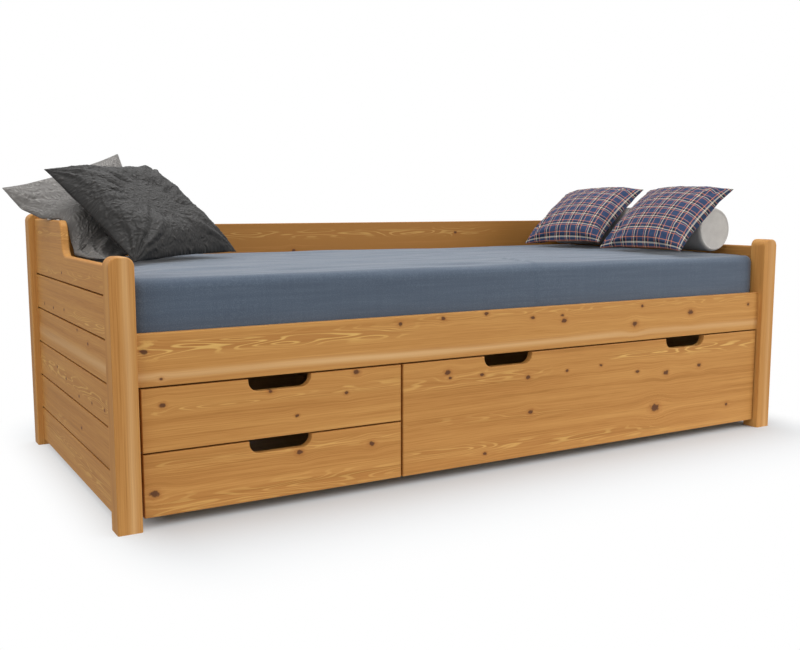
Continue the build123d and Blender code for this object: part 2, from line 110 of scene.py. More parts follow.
# One knot in a board, as a group: grain lines part round it, its core is dark and its rim is reddish.
# In: grain place (along, across, depth), across as bent so far, knot centre, radius.
# Out: across after the knot has pushed the lines apart, darkness of the core, and of the rim.
knot_group = bpy.data.node_groups.new("knot in the grain", "ShaderNodeTree")
for label, kind in (("Place", "Vector"), ("Across", "Float"), ("Centre", "Vector"), ("Radius", "Float")):
    knot_group.interface.new_socket(label, in_out="INPUT", socket_type="NodeSocket" + kind)
for label in ("Across", "Core", "Rim"):
    knot_group.interface.new_socket(label, in_out="OUTPUT", socket_type="NodeSocketFloat")
g_in = knot_group.nodes.new("NodeGroupInput").outputs
apart = add(
    knot_group, "VectorMath", {0: g_in["Place"], 1: g_in["Centre"]}, operation="SUBTRACT"
).outputs[0]
squeezed = add(knot_group, "VectorMath", {0: apart, 1: (0.7, 1.0, 0.0)}, operation="MULTIPLY").outputs[0]
away = add(knot_group, "VectorMath", {0: squeezed}, operation="LENGTH").outputs["Value"]
round_radii = add(knot_group, "Math", {0: away, 1: g_in["Radius"]}, operation="DIVIDE").outputs[0]
uneven = add(
    knot_group, "TexNoise", {"Vector": g_in["Place"], "Scale": 110.0, "Detail": 2.0}
).outputs["Fac"]
uneven = add(knot_group, "Math", {0: uneven, 1: -0.5}, operation="ADD").outputs[0]
radii = add(knot_group, "Math", {0: uneven, 1: 1.3, 2: round_radii}, operation="MULTIPLY_ADD").outputs[0]
near_share = add(knot_group, "Math", {0: radii, 1: 0.3}, operation="MULTIPLY").outputs[0]
near_square = add(knot_group, "Math", {0: near_share, 1: 2.0}, operation="POWER").outputs[0]
near_minus = add(knot_group, "Math", {0: near_square, 1: -1.0}, operation="MULTIPLY").outputs[0]
near = add(knot_group, "Math", {0: near_minus}, operation="EXPONENT").outputs[0]
offset_across = add(knot_group, "SeparateXYZ", {0: apart}).outputs["Y"]
push = add(knot_group, "Math", {0: near, 1: offset_across}, operation="MULTIPLY").outputs[0]
push = add(knot_group, "Math", {0: push, 1: -0.8}, operation="MULTIPLY").outputs[0]
bent = add(knot_group, "Math", {0: g_in["Across"], 1: push}, operation="ADD").outputs[0]
core_fade = {"Value": radii, "From Min": 1.15, "From Max": 0.6}
core = add(knot_group, "MapRange", core_fade, interpolation_type="SMOOTHSTEP").outputs[0]
rim_fade = {"Value": radii, "From Min": 2.3, "From Max": 0.8}
rim = add(knot_group, "MapRange", rim_fade, interpolation_type="SMOOTHSTEP").outputs[0]
g_out = knot_group.nodes.new("NodeGroupOutput")
for label, socket in (("Across", bent), ("Core", core), ("Rim", rim)):
    knot_group.links.new(socket, g_out.inputs[label])

# the axes along, across and into a board, by the axis that its grain follows
ORDER = {"X": ("X", "Z", "Y"), "Y": ("Y", "Z", "X"), "Z": ("Z", "X", "Y")}

STAINED_TONES = [(0.25, "#A26F35"), (0.42, "#B98144"), (0.58, "#C6904F"), (0.75, "#D3A05C")]
BARE_TONES = [(0.3, "#CFAE7E"), (0.5, "#DDBE90"), (0.72, "#E6CDA2")]
LINE_SHARE, DRIFT_SHARE, FIBRE_SHARE = 0.5, 0.5, 0.26
FLAME_TAPER = 0.06
FLAME_SHARE, UNDER_FLAME_SHARE = 0.6, 0.35
RIM_SHARE, CORE_SHARE = 0.42, 0.85


def stained_pine(name, box, grain, seed, tone=0.5, flames=(), knots=(), pale=None, bare=False):
    """Pine board, planed, honey-stained and satin-varnished: fine brown grain lines along the board, wavy
    pale flames where the saw met the growth rings flat, and small dark knots that the lines part round.
    Rings are the squared distance across the board from a flame's middle line, bent by noise, in bands."""
    material, tree = new_material(name)
    low, high = box
    centre = (low + high) / 2
    around = add(tree, "TexCoord").outputs["Object"]
    shifted = add(tree, "Mapping", {"Vector": around, "Location": tuple(-centre)}).outputs[0]
    parts = add(tree, "SeparateXYZ", {0: shifted}).outputs
    order = ORDER[grain]
    place = add(
        tree, "CombineXYZ", {"X": parts[order[0]], "Y": parts[order[1]], "Z": parts[order[2]]}
    ).outputs[0]
    split = add(tree, "SeparateXYZ", {0: place}).outputs
    seeded = add(
        tree, "VectorMath", {0: place, 1: (seed * 7.3, seed * 3.1, seed * 1.7)}, operation="ADD"
    ).outputs[0]

    # slow wander of the grain: a few millimetres over half a metre
    slow_place = add(tree, "VectorMath", {0: seeded, 1: (1.6, 9.0, 9.0)}, operation="MULTIPLY").outputs[0]
    slow = add(tree, "TexNoise", {"Vector": slow_place, "Scale": 1.0, "Detail": 2.0}).outputs["Fac"]
    slow = add(tree, "Math", {0: slow, 1: -0.5}, operation="ADD").outputs[0]
    bend = add(tree, "Math", {0: slow, 1: 0.014}, operation="MULTIPLY").outputs[0]
    across = add(tree, "Math", {0: split["Y"], 1: bend}, operation="ADD").outputs[0]
    dark_core, dark_rim = None, None
    for along, height, radius in knots:
        spot = {"Place": place, "Across": across, "Centre": (along, height, 0), "Radius": radius}
        spot = add(tree, "Group", spot, node_tree=knot_group).outputs
        across = spot["Across"]
        if dark_core is None:
            dark_core, dark_rim = spot["Core"], spot["Rim"]
        else:
            dark_core = add(tree, "Math", {0: dark_core, 1: spot["Core"]}, operation="MAXIMUM").outputs[0]
            dark_rim = add(tree, "Math", {0: dark_rim, 1: spot["Rim"]}, operation="MAXIMUM").outputs[0]
    grain_place = add(tree, "CombineXYZ", {"X": split["X"], "Y": across, "Z": split["Z"]}).outputs[0]
    grain_place = add(
        tree, "VectorMath", {0: grain_place, 1: (seed * 5.1, seed * 2.3, seed)}, operation="ADD"
    ).outputs[0]

    # grain lines: streaks about 2 mm apart and a third of a metre long, and broad drifts of tone over them
    line_place = add(
        tree, "VectorMath", {0: grain_place, 1: (3.0, 400.0, 60.0)}, operation="MULTIPLY"
    ).outputs[0]
    lines = add(
        tree, "TexNoise", {"Vector": line_place, "Scale": 1.0, "Detail": 3.0, "Roughness": 0.6}
    ).outputs["Fac"]
    drift_place = add(
        tree, "VectorMath", {0: grain_place, 1: (1.1, 50.0, 20.0)}, operation="MULTIPLY"
    ).outputs[0]
    drift = add(
        tree, "TexNoise", {"Vector": drift_place, "Scale": 1.0, "Detail": 3.0, "Roughness": 0.55}
    ).outputs["Fac"]
    fibre_place = add(
        tree, "VectorMath", {0: grain_place, 1: (16.0, 760.0, 400.0)}, operation="MULTIPLY"
    ).outputs[0]
    fibres = add(tree, "TexNoise", {"Vector": fibre_place, "Scale": 1.0, "Detail": 2.0}).outputs["Fac"]
    tint = add(tree, "Math", {0: lines, 1: LINE_SHARE}, operation="MULTIPLY").outputs[0]
    tint = add(tree, "Math", {0: drift, 1: DRIFT_SHARE, 2: tint}, operation="MULTIPLY_ADD").outputs[0]
    tint = add(tree, "Math", {0: fibres, 1: FIBRE_SHARE, 2: tint}, operation="MULTIPLY_ADD").outputs[0]
    # the three noises average a half each, so the shift centres their sum on the board's tone
    shift = tone - (LINE_SHARE + DRIFT_SHARE + FIBRE_SHARE) / 2
    tint = add(tree, "Math", {0: tint, 1: shift}, operation="ADD").outputs[0]
    tones = BARE_TONES if bare else STAINED_TONES
    base = add(tree, "ValToRGB", {"Fac": tint}, stops=tones).outputs["Color"]

    # flames: pale bands, with a little darker wood between them
    band_colour, under_colour = ("#F3DDB5", "#C79F6B") if bare else ("#F0C775", "#A9703A")
    for middle, slope, width, start, end, strength in flames:
        line = add(
            tree, "Math", {0: split["X"], 1: -slope, 2: -middle}, operation="MULTIPLY_ADD"
        ).outputs[0]
        off = add(tree, "Math", {0: across, 1: line}, operation="ADD").outputs[0]
        share = add(tree, "Math", {0: off, 1: 1.0 / width}, operation="MULTIPLY").outputs[0]
        square = add(tree, "Math", {0: share, 1: share}, operation="MULTIPLY").outputs[0]
        wave_place = add(
            tree, "VectorMath", {0: seeded, 1: (4.2, 44.0, 22.0)}, operation="MULTIPLY"
        ).outputs[0]
        wave = add(
            tree, "TexNoise", {"Vector": wave_place, "Scale": 1.0, "Detail": 1.0, "Roughness": 0.3}
        ).outputs["Fac"]
        phase = add(tree, "Math", {0: wave, 1: 9.0, 2: square}, operation="MULTIPLY_ADD").outputs[0]
        phase = add(tree, "Math", {0: phase, 1: 2 * math.pi}, operation="MULTIPLY").outputs[0]
        band = add(tree, "Math", {0: phase}, operation="SINE").outputs[0]
        crest = {"Value": band, "From Min": 0.3, "From Max": 1.0}
        band = add(tree, "MapRange", crest, interpolation_type="SMOOTHSTEP").outputs[0]
        fade = add(tree, "Math", {0: square, 1: -1.3}, operation="MULTIPLY").outputs[0]
        fade = add(tree, "Math", {0: fade}, operation="EXPONENT").outputs[0]
        begin = {"Value": split["X"], "From Min": start - FLAME_TAPER, "From Max": start + FLAME_TAPER}
        begin = add(tree, "MapRange", begin, interpolation_type="SMOOTHSTEP").outputs[0]
        stop = {"Value": split["X"], "From Min": end + FLAME_TAPER, "From Max": end - FLAME_TAPER}
        stop = add(tree, "MapRange", stop, interpolation_type="SMOOTHSTEP").outputs[0]
        mask = add(tree, "Math", {0: begin, 1: stop}, operation="MULTIPLY").outputs[0]
        mask = add(tree, "Math", {0: mask, 1: fade}, operation="MULTIPLY").outputs[0]
        shown = add(tree, "Math", {0: band, 1: mask}, operation="MULTIPLY").outputs[0]
        shown = add(tree, "Math", {0: shown, 1: FLAME_SHARE * strength}, operation="MULTIPLY").outputs[0]
        base = add(tree, "MixRGB", {"Fac": shown, "Color1": base, "Color2": colour(band_colour)}).outputs[0]
        under = add(
            tree, "Math", {0: mask, 1: UNDER_FLAME_SHARE * strength}, operation="MULTIPLY"
        ).outputs[0]
        under_band = add(tree, "Math", {0: 1.0, 1: band}, operation="SUBTRACT").outputs[0]
        under = add(tree, "Math", {0: under, 1: under_band}, operation="MULTIPLY").outputs[0]
        base = add(
            tree, "MixRGB", {"Fac": under, "Color1": base, "Color2": colour(under_colour)}
        ).outputs[0]

    # one straight pale streak, in part a sapwood band and in part a painted satin highlight: its share
    # falls off as exp of minus the squared distance over the width
    if pale:
        middle, width, strength = pale
        off = add(tree, "Math", {0: across, 1: -middle}, operation="ADD").outputs[0]
        off = add(tree, "Math", {0: off, 1: 1.0 / width}, operation="MULTIPLY").outputs[0]
        off = add(tree, "Math", {0: off, 1: off}, operation="MULTIPLY").outputs[0]
        off = add(tree, "Math", {0: off, 1: -1.0}, operation="MULTIPLY").outputs[0]
        off = add(tree, "Math", {0: off}, operation="EXPONENT").outputs[0]
        off = add(tree, "Math", {0: off, 1: drift}, operation="MULTIPLY").outputs[0]
        off = add(tree, "Math", {0: off, 1: strength * 2}, operation="MULTIPLY").outputs[0]
        base = add(tree, "MixRGB", {"Fac": off, "Color1": base, "Color2": colour("#DDB481")}).outputs[0]

    if dark_core is not None:
        rim_share = add(tree, "Math", {0: dark_rim, 1: RIM_SHARE}, operation="MULTIPLY").outputs[0]
        base = add(
            tree, "MixRGB", {"Fac": rim_share, "Color1": base, "Color2": colour("#A0602F")}
        ).outputs[0]
        core_share = add(tree, "Math", {0: dark_core, 1: CORE_SHARE}, operation="MULTIPLY").outputs[0]
        base = add(
            tree, "MixRGB", {"Fac": core_share, "Color1": base, "Color2": colour("#4E2F22")}
        ).outputs[0]

    rough = add(tree, "MapRange", {"Value": lines, "To Min": 0.42, "To Max": 0.56}).outputs[0]
    height = add(tree, "Math", {0: lines, 1: 0.6}, operation="MULTIPLY").outputs[0]
    height = add(tree, "Math", {0: fibres, 1: 0.4, 2: height}, operation="MULTIPLY_ADD").outputs[0]
    bump = add(tree, "Bump", {"Height": height, "Strength": 0.22, "Distance": 0.0006}).outputs[0]
    specular = 0.15 if bare else 0.18
    look = {"Base Color": base, "Roughness": rough, "Normal": bump, "Specular IOR Level": specular}
    finish_material(tree, add(tree, "BsdfPrincipled", look).outputs[0])
    return material


def woven(tree, place, pitch):
    """The height of a plain weave: threads over and under each other, pitch metres apart."""
    threads = add(
        tree, "VectorMath", {0: place, 1: (2 * math.pi / pitch,) * 3}, operation="MULTIPLY"
    ).outputs[0]
    split = add(tree, "SeparateXYZ", {0: threads}).outputs
    one = add(tree, "Math", {0: split["X"]}, operation="SINE").outputs[0]
    two = add(tree, "Math", {0: split["Y"]}, operation="SINE").outputs[0]
    return add(tree, "Math", {0: one, 1: two}, operation="MULTIPLY").outputs[0]


def jersey_sheet():
    """Cotton fitted sheet, blue-grey: matte, with fine slubs in the thread and faint rubbed lines along the
    bed."""
    material, tree = new_material("blue-grey cotton sheet")
    place = add(tree, "TexCoord").outputs["Object"]
    long_place = add(tree, "VectorMath", {0: place, 1: (5.0, 90.0, 160.0)}, operation="MULTIPLY").outputs[0]
    slubs = add(
        tree, "TexNoise", {"Vector": long_place, "Scale": 1.0, "Detail": 4.0, "Roughness": 0.6}
    ).outputs["Fac"]
    upright_place = add(
        tree, "VectorMath", {0: place, 1: (150.0, 6.0, 6.0)}, operation="MULTIPLY"
    ).outputs[0]
    upright = add(tree, "TexNoise", {"Vector": upright_place, "Scale": 1.0, "Detail": 3.0}).outputs["Fac"]
    fine = add(tree, "TexNoise", {"Vector": place, "Scale": 420.0, "Detail": 2.0}).outputs["Fac"]
    mix = add(tree, "Math", {0: slubs, 1: 0.22}, operation="MULTIPLY").outputs[0]
    mix = add(tree, "Math", {0: upright, 1: 0.08, 2: mix}, operation="MULTIPLY_ADD").outputs[0]
    mix = add(tree, "Math", {0: fine, 1: 0.5, 2: mix}, operation="MULTIPLY_ADD").outputs[0]
    blues = [(0.36, "#4A5666"), (0.5, "#596675"), (0.64, "#6A7787")]
    base = add(tree, "ValToRGB", {"Fac": mix}, stops=blues).outputs["Color"]
    bump = add(tree, "Bump", {"Height": mix, "Strength": 0.5, "Distance": 0.0012}).outputs[0]
    look = {"Base Color": base, "Roughness": 0.85, "Normal": bump, "Specular IOR Level": 0.3}
    sheen = {"Sheen Weight": 0.25, "Sheen Roughness": 0.5}
    finish_material(tree, add(tree, "BsdfPrincipled", look | sheen).outputs[0])
    return material


def crushed_cloth(name, stops, shift):
    """Crushed taffeta: a dull sheen over sharp little creases, with painted highlights along their ridges
    and painted shade in their hollows. The shift, in metres, gives each pillow creases of its own."""
    material, tree = new_material(name)
    place = add(tree, "Attribute", attribute_name="cloth").outputs["Vector"]
    place = add(tree, "VectorMath", {0: place, 1: (shift, shift * 0.7, 0)}, operation="ADD").outputs[0]
    warp_noise = add(tree, "TexNoise", {"Vector": place, "Scale": 14.0, "Detail": 3.0}).outputs["Color"]
    warp = add(tree, "VectorMath", {0: warp_noise, 1: (-0.5, -0.5, -0.5)}, operation="ADD").outputs[0]
    warp = add(tree, "VectorMath", {0: warp, 1: (0.045, 0.045, 0.0)}, operation="MULTIPLY").outputs[0]
    bent = add(tree, "VectorMath", {0: place, 1: warp}, operation="ADD").outputs[0]
    ridged = {"Vector": bent, "Scale": 75.0, "Detail": 5.0, "Roughness": 0.75}
    creases = add(tree, "TexNoise", ridged, noise_type="RIDGED_MULTIFRACTAL").outputs["Fac"]
    fine = add(tree, "TexNoise", {"Vector": bent, "Scale": 160.0, "Detail": 3.0}).outputs["Fac"]
    height = add(tree, "Math", {0: fine, 1: 0.25, 2: creases}, operation="MULTIPLY_ADD").outputs[0]
    # colour follows the creases: painted highlight on the ridges, painted shade in the hollows
    base = add(tree, "ValToRGB", {"Fac": creases}, stops=stops).outputs["Color"]
    bump = add(tree, "Bump", {"Height": height, "Strength": 1.0, "Distance": 0.006}).outputs[0]
    look = {"Base Color": base, "Roughness": 0.62, "Normal": bump, "Specular IOR Level": 0.4}
    sheen = {"Sheen Weight": 0.08, "Sheen Roughness": 0.4}
    finish_material(tree, add(tree, "BsdfPrincipled", look | sheen).outputs[0])
    return material


# one repeat of the stripes: each colour from its share of the repeat on
PLAID_REPEATS = 22.7
THREAD_PITCH = 0.0016
PLAID = [
    (0.0, "#DD8A60"),
    (0.05, "#2F4160"),
    (0.15, "#D2CAB6"),
    (0.22, "#0A121C"),
    (0.345, "#2F4160"),
    (0.44, "#DD8A60"),
    (0.49, "#2F4160"),
]


def plaid_cloth():
    """Cotton plaid, yarn-dyed: navy ground with paired salmon and cream lines every 44 mm both ways; where
    two lines cross, the yarns show half and half."""
    material, tree = new_material("navy plaid cotton")
    place = add(tree, "Attribute", attribute_name="cloth").outputs["Vector"]
    scaled = add(
        tree, "VectorMath", {0: place, 1: (PLAID_REPEATS, PLAID_REPEATS, 0)}, operation="MULTIPLY"
    ).outputs[0]
    wrapped = add(tree, "VectorMath", {0: scaled}, operation="FRACTION").outputs[0]
    split = add(tree, "SeparateXYZ", {0: wrapped}).outputs
    warp_stripes = add(tree, "ValToRGB", {"Fac": split["X"]}, stops=PLAID)
    weft_stripes = add(tree, "ValToRGB", {"Fac": split["Y"]}, stops=PLAID)
    warp_stripes.color_ramp.interpolation = weft_stripes.color_ramp.interpolation = "CONSTANT"
    warp, weft = warp_stripes.outputs["Color"], weft_stripes.outputs["Color"]
    base = add(tree, "MixRGB", {"Fac": 0.5, "Color1": warp, "Color2": weft}).outputs[0]
    weave = woven(tree, place, THREAD_PITCH)
    soft = add(tree, "TexNoise", {"Vector": place, "Scale": 260.0, "Detail": 2.0}).outputs["Fac"]
    soft = add(tree, "MapRange", {"Value": soft, "To Min": 0.8, "To Max": 1.2}).outputs[0]
    tone = add(tree, "CombineXYZ", {0: soft, 1: soft, 2: soft}).outputs[0]
    base = add(
        tree, "MixRGB", {"Fac": 1.0, "Color1": base, "Color2": tone}, blend_type="MULTIPLY"
    ).outputs[0]
    bump = add(tree, "Bump", {"Height": weave, "Strength": 0.35, "Distance": 0.0004}).outputs[0]
    look = {"Base Color": base, "Roughness": 0.85, "Normal": bump, "Specular IOR Level": 0.2}
    finish_material(tree, add(tree, "BsdfPrincipled", look | {"Sheen Weight": 0.03}).outputs[0])
    return material


def white_ticking():
    """Off-white cotton of the bolster: dense, matte, with a soft fuzz."""
    material, tree = new_material("off-white cotton")
    place = add(tree, "TexCoord").outputs["Object"]
    fuzz = add(tree, "TexNoise", {"Vector": place, "Scale": 700.0, "Detail": 2.0}).outputs["Fac"]
    soft = add(tree, "TexNoise", {"Vector": place, "Scale": 30.0, "Detail": 3.0}).outputs["Fac"]
    mix = add(tree, "Math", {0: fuzz, 1: 0.5}, operation="MULTIPLY").outputs[0]
    mix = add(tree, "Math", {0: soft, 1: 0.5, 2: mix}, operation="MULTIPLY_ADD").outputs[0]
    base = add(tree, "ValToRGB", {"Fac": mix}, stops=[(0.3, "#B3AFAA"), (0.7, "#CAC6C0")]).outputs["Color"]
    bump = add(tree, "Bump", {"Height": mix, "Strength": 0.4, "Distance": 0.001}).outputs[0]
    look = {"Base Color": base, "Roughness": 0.88, "Normal": bump, "Specular IOR Level": 0.25}
    finish_material(tree, add(tree, "BsdfPrincipled", look | {"Sheen Weight": 0.15}).outputs[0])
    return material


# Mesh helpers


def hills(x, y, seed):
    """Smooth random hills over a plane: each whole-numbered corner has a random slope, and they are blended
    by the fifth-power smooth step, so heights run from about -0.7 to 0.7."""
    angles = np.random.default_rng(seed).uniform(0, 2 * math.pi, (256, 256))
    column, row = np.floor(x).astype(int), np.floor(y).astype(int)
    fx, fy = x - column, y - row
    wx, wy = (f**3 * (f * (6 * f - 15) + 10) for f in (fx, fy))

    def corner(i, j):
        angle = angles[(column + i) % 256, (row + j) % 256]
        return np.cos(angle) * (fx - i) + np.sin(angle) * (fy - j)

    lower = corner(0, 0) * (1 - wx) + corner(1, 0) * wx
    upper = corner(0, 1) * (1 - wx) + corner(1, 1) * wx
    return lower * (1 - wy) + upper * wy


def new_piece(name, points, faces, material):
    """A smooth-shaded mesh object from arrays of points and faces."""
    mesh = bpy.data.meshes.new(name)
    mesh.from_pydata(points.tolist(), [], faces.tolist())
    mesh.polygons.foreach_set("use_smooth", np.ones(len(mesh.polygons), bool))
    mesh.materials.append(material)
    piece = bpy.data.objects.new(name, mesh)
    scene.collection.objects.link(piece)
    return piece


def points_of(mesh):
    """The mesh's vertices as an array."""
    flat = np.empty(len(mesh.vertices) * 3)
    mesh.vertices.foreach_get("co", flat)
    return flat.reshape(-1, 3)


def set_points(mesh, points):
    """Moves the mesh's vertices to the points."""
    mesh.vertices.foreach_set("co", points.astype(np.float32).ravel())
    mesh.update()


def cushion_grid(corners, front, back, count, pull, left_edge):
    """A stuffed square between four corners (lower left, lower right, upper right, upper left), as two
    grids joined round their edge. A point at shares s and t lies at s across from the left edge to the
    right one; each edge draws in by pull towards the middle; front and back stand off by (16 s (1-s) t
    (1-t)) to a power. A left edge that bends over something is a path of evenly spaced points instead of a
    straight line."""
    power = 0.55
    shares = np.linspace(0, 1, count + 1)
    s, t = np.meshgrid(shares, shares, indexing="ij")
    left_pull = 0.0 if left_edge is not None else pull
    s_in = s + (left_pull * (1 - s) - pull * s) * 2 * t * (1 - t)
    t_in = 0.5 + (t - 0.5) * (1 - pull * 4 * s * (1 - s))
    ll, lr, ur, ul = (np.array(c, float) for c in corners)
    path = np.array([ll, ul]) if left_edge is None else np.array(left_edge)
    marks = np.linspace(0, 1, len(path))
    left = np.stack([np.interp(t_in, marks, path[:, axis]) for axis in range(3)], -1)
    right = lr + (ur - lr) * t_in[..., None]
    flat = left + (right - left) * s_in[..., None]
    normal = np.cross(np.gradient(flat, axis=0), np.gradient(flat, axis=1))
    normal /= np.linalg.norm(normal, axis=2, keepdims=True)
    full = (16 * s * (1 - s) * t * (1 - t)) ** power
    top = flat + normal * (front * full)[..., None]
    under = flat - normal * (back * full)[..., None]
    number = np.arange((count + 1) ** 2).reshape(count + 1, count + 1)
    under_number = number.copy()
    inside = np.s_[1:-1, 1:-1]
    under_number[inside] = (count + 1) ** 2 + np.arange((count - 1) ** 2).reshape(count - 1, count - 1)
    points = np.concatenate([top.reshape(-1, 3), under[inside].reshape(-1, 3)])

    def quads(n):
        return np.stack([n[:-1, :-1], n[1:, :-1], n[1:, 1:], n[:-1, 1:]], axis=-1).reshape(-1, 4)

    faces = np.concatenate([quads(number), quads(under_number)[:, ::-1]])
    width = np.linalg.norm(lr - ll)
    cloth = np.stack([s.ravel() * width, t.ravel() * width, np.zeros(s.size)], axis=1)
    cloth_under = cloth.reshape(count + 1, count + 1, 3)[inside].reshape(-1, 3) + (0, 0, 1)
    return points, faces, np.concatenate([cloth, cloth_under])


def store_cloth(mesh, cloth):
    """Keeps each vertex's place on the flat cloth, in metres, as the attribute that the fabrics read."""
    attribute = mesh.attributes.new("cloth", "FLOAT_VECTOR", "POINT")
    attribute.data.foreach_set("vector", cloth.astype(np.float32).ravel())


def stuff(piece, cap):
    """Fills the piece by cloth simulation without gravity, then keeps each point within cap metres of its
    start, and the seam nearly where it was."""
    pressure, growth, frames = 4.0, 0.06, 20
    start = points_of(piece.data)
    modifier = piece.modifiers.new("stuffing", "CLOTH")
    settings = modifier.settings
    settings.quality = 5
    settings.mass = 0.25
    settings.tension_stiffness = settings.compression_stiffness = 18
    settings.shear_stiffness = 6
    settings.bending_stiffness = 0.35
    settings.use_pressure = True
    settings.uniform_pressure_force = pressure
    settings.shrink_min = -growth
    settings.effector_weights.gravity = 0
    modifier.point_cache.frame_start = 1
    modifier.point_cache.frame_end = frames
    for number in range(1, frames + 1):
        scene.frame_set(number)
    ready = piece.evaluated_get(bpy.context.evaluated_depsgraph_get())
    moved = points_of(ready.data) - start
    piece.modifiers.remove(modifier)
    scene.frame_set(1)
    length = np.linalg.norm(moved, axis=1, keepdims=True)
    moved *= cap * np.tanh(length / cap) / np.maximum(length, 1e-9)
    cloth = cloth_places(piece.data)
    u, v, width = cloth[:, 0], cloth[:, 1], cloth[:, 0].max()
    edge = np.minimum(np.minimum(u, width - u), np.minimum(v, width - v)) / width
    moved *= np.clip(0.15 + edge * 7, 0, 1)[:, None]
    set_points(piece.data, start + moved)


def subdivide(piece):
    """Replaces the mesh by itself, subdivided once."""
    modifier = piece.modifiers.new("finer", "SUBSURF")
    modifier.levels = modifier.render_levels = 1
    ready = piece.evaluated_get(bpy.context.evaluated_depsgraph_get())
    mesh = bpy.data.meshes.new_from_object(ready)
    piece.modifiers.remove(modifier)
    old, piece.data = piece.data, mesh
    bpy.data.meshes.remove(old)


def normals_of(mesh):
    """The mesh's vertex normals as an array."""
    flat = np.empty(len(mesh.vertices) * 3, np.float32)
    mesh.vertex_normals.foreach_get("vector", flat)
    return flat.reshape(-1, 3).astype(float)


def cloth_places(mesh):
    """The attribute that store_cloth kept, as an array."""
    flat = np.empty(len(mesh.vertices) * 3, np.float32)
    mesh.attributes["cloth"].data.foreach_get("vector", flat)
    return flat.reshape(-1, 3).astype(float)


def crush(piece, depth, seed):
    """Presses creases into a piece along its normals: ridges of 1 - 2 |hills|, at four sizes, along paths
    that other hills bend, fading out at the seam, and longer folds that fan out from each corner."""
    mesh = piece.data
    cloth = cloth_places(mesh)
    u, v = cloth[:, 0], cloth[:, 1]
    side = np.where(cloth[:, 2] > 0.5, 40.0, 0.0)
    u_bent = u + 0.035 * hills(u * 9 + side, v * 9, seed) + 0.012 * hills(u * 28, v * 28 + side, seed + 1)
    v_bent = v + 0.035 * hills(u * 9, v * 9 + side, seed + 2)
    v_bent += 0.012 * hills(u * 28 + side, v * 28, seed + 3)
    height = np.zeros(len(u))
    for scale, share in ((8, 0.3), (19, 0.26), (47, 0.26), (95, 0.18)):
        ridge = 1 - 2 * np.abs(hills(u_bent * scale + side, v_bent * scale * 1.35, seed + scale))
        height += share * ridge * np.abs(ridge)
    width = u.max()
    edge = np.minimum(np.minimum(u, width - u), np.minimum(v, width - v)) / width
    height *= np.clip(edge * 14, 0.15, 1)
    for corner_u, corner_v, share in ((0, 0, 1.0), (width, 0, 0.6), (width, width, 0.7), (0, width, 0.5)):
        far = np.hypot(u - corner_u, v - corner_v) / width
        turn = np.arctan2(np.abs(v - corner_v), np.abs(u - corner_u))
        fold = hills(turn * 5 + 0.6 * hills(far * 6, turn * 2, seed + 5) + side, far * 2.2, seed + 6)
        height += 2.6 * share * fold * np.exp(-(((far - 0.22) / 0.16) ** 2))
    set_points(mesh, points_of(mesh) + normals_of(mesh) * (depth * height)[:, None])


# Soft pieces


def square_corners(lower_middle, heading, lean, rise, side):
    """The corners of a square that leans back from its lower edge, in the order that cushion_grid takes.
    The angles are in degrees: heading turns the lower edge about the upright, lean raises the square, rise
    tips the edge."""
    turn, tilt, tip = math.radians(heading), math.radians(lean), math.radians(rise)
    along = np.array([math.cos(tip) * math.cos(turn), math.cos(tip) * math.sin(turn), math.sin(tip)])
    up = np.array([-math.cos(tilt) * math.sin(turn), math.cos(tilt) * math.cos(turn), math.sin(tilt)])
    start, end = np.array(lower_middle) - along * side / 2, np.array(lower_middle) + along * side / 2
    return start, end, end + up * side, start + up * side


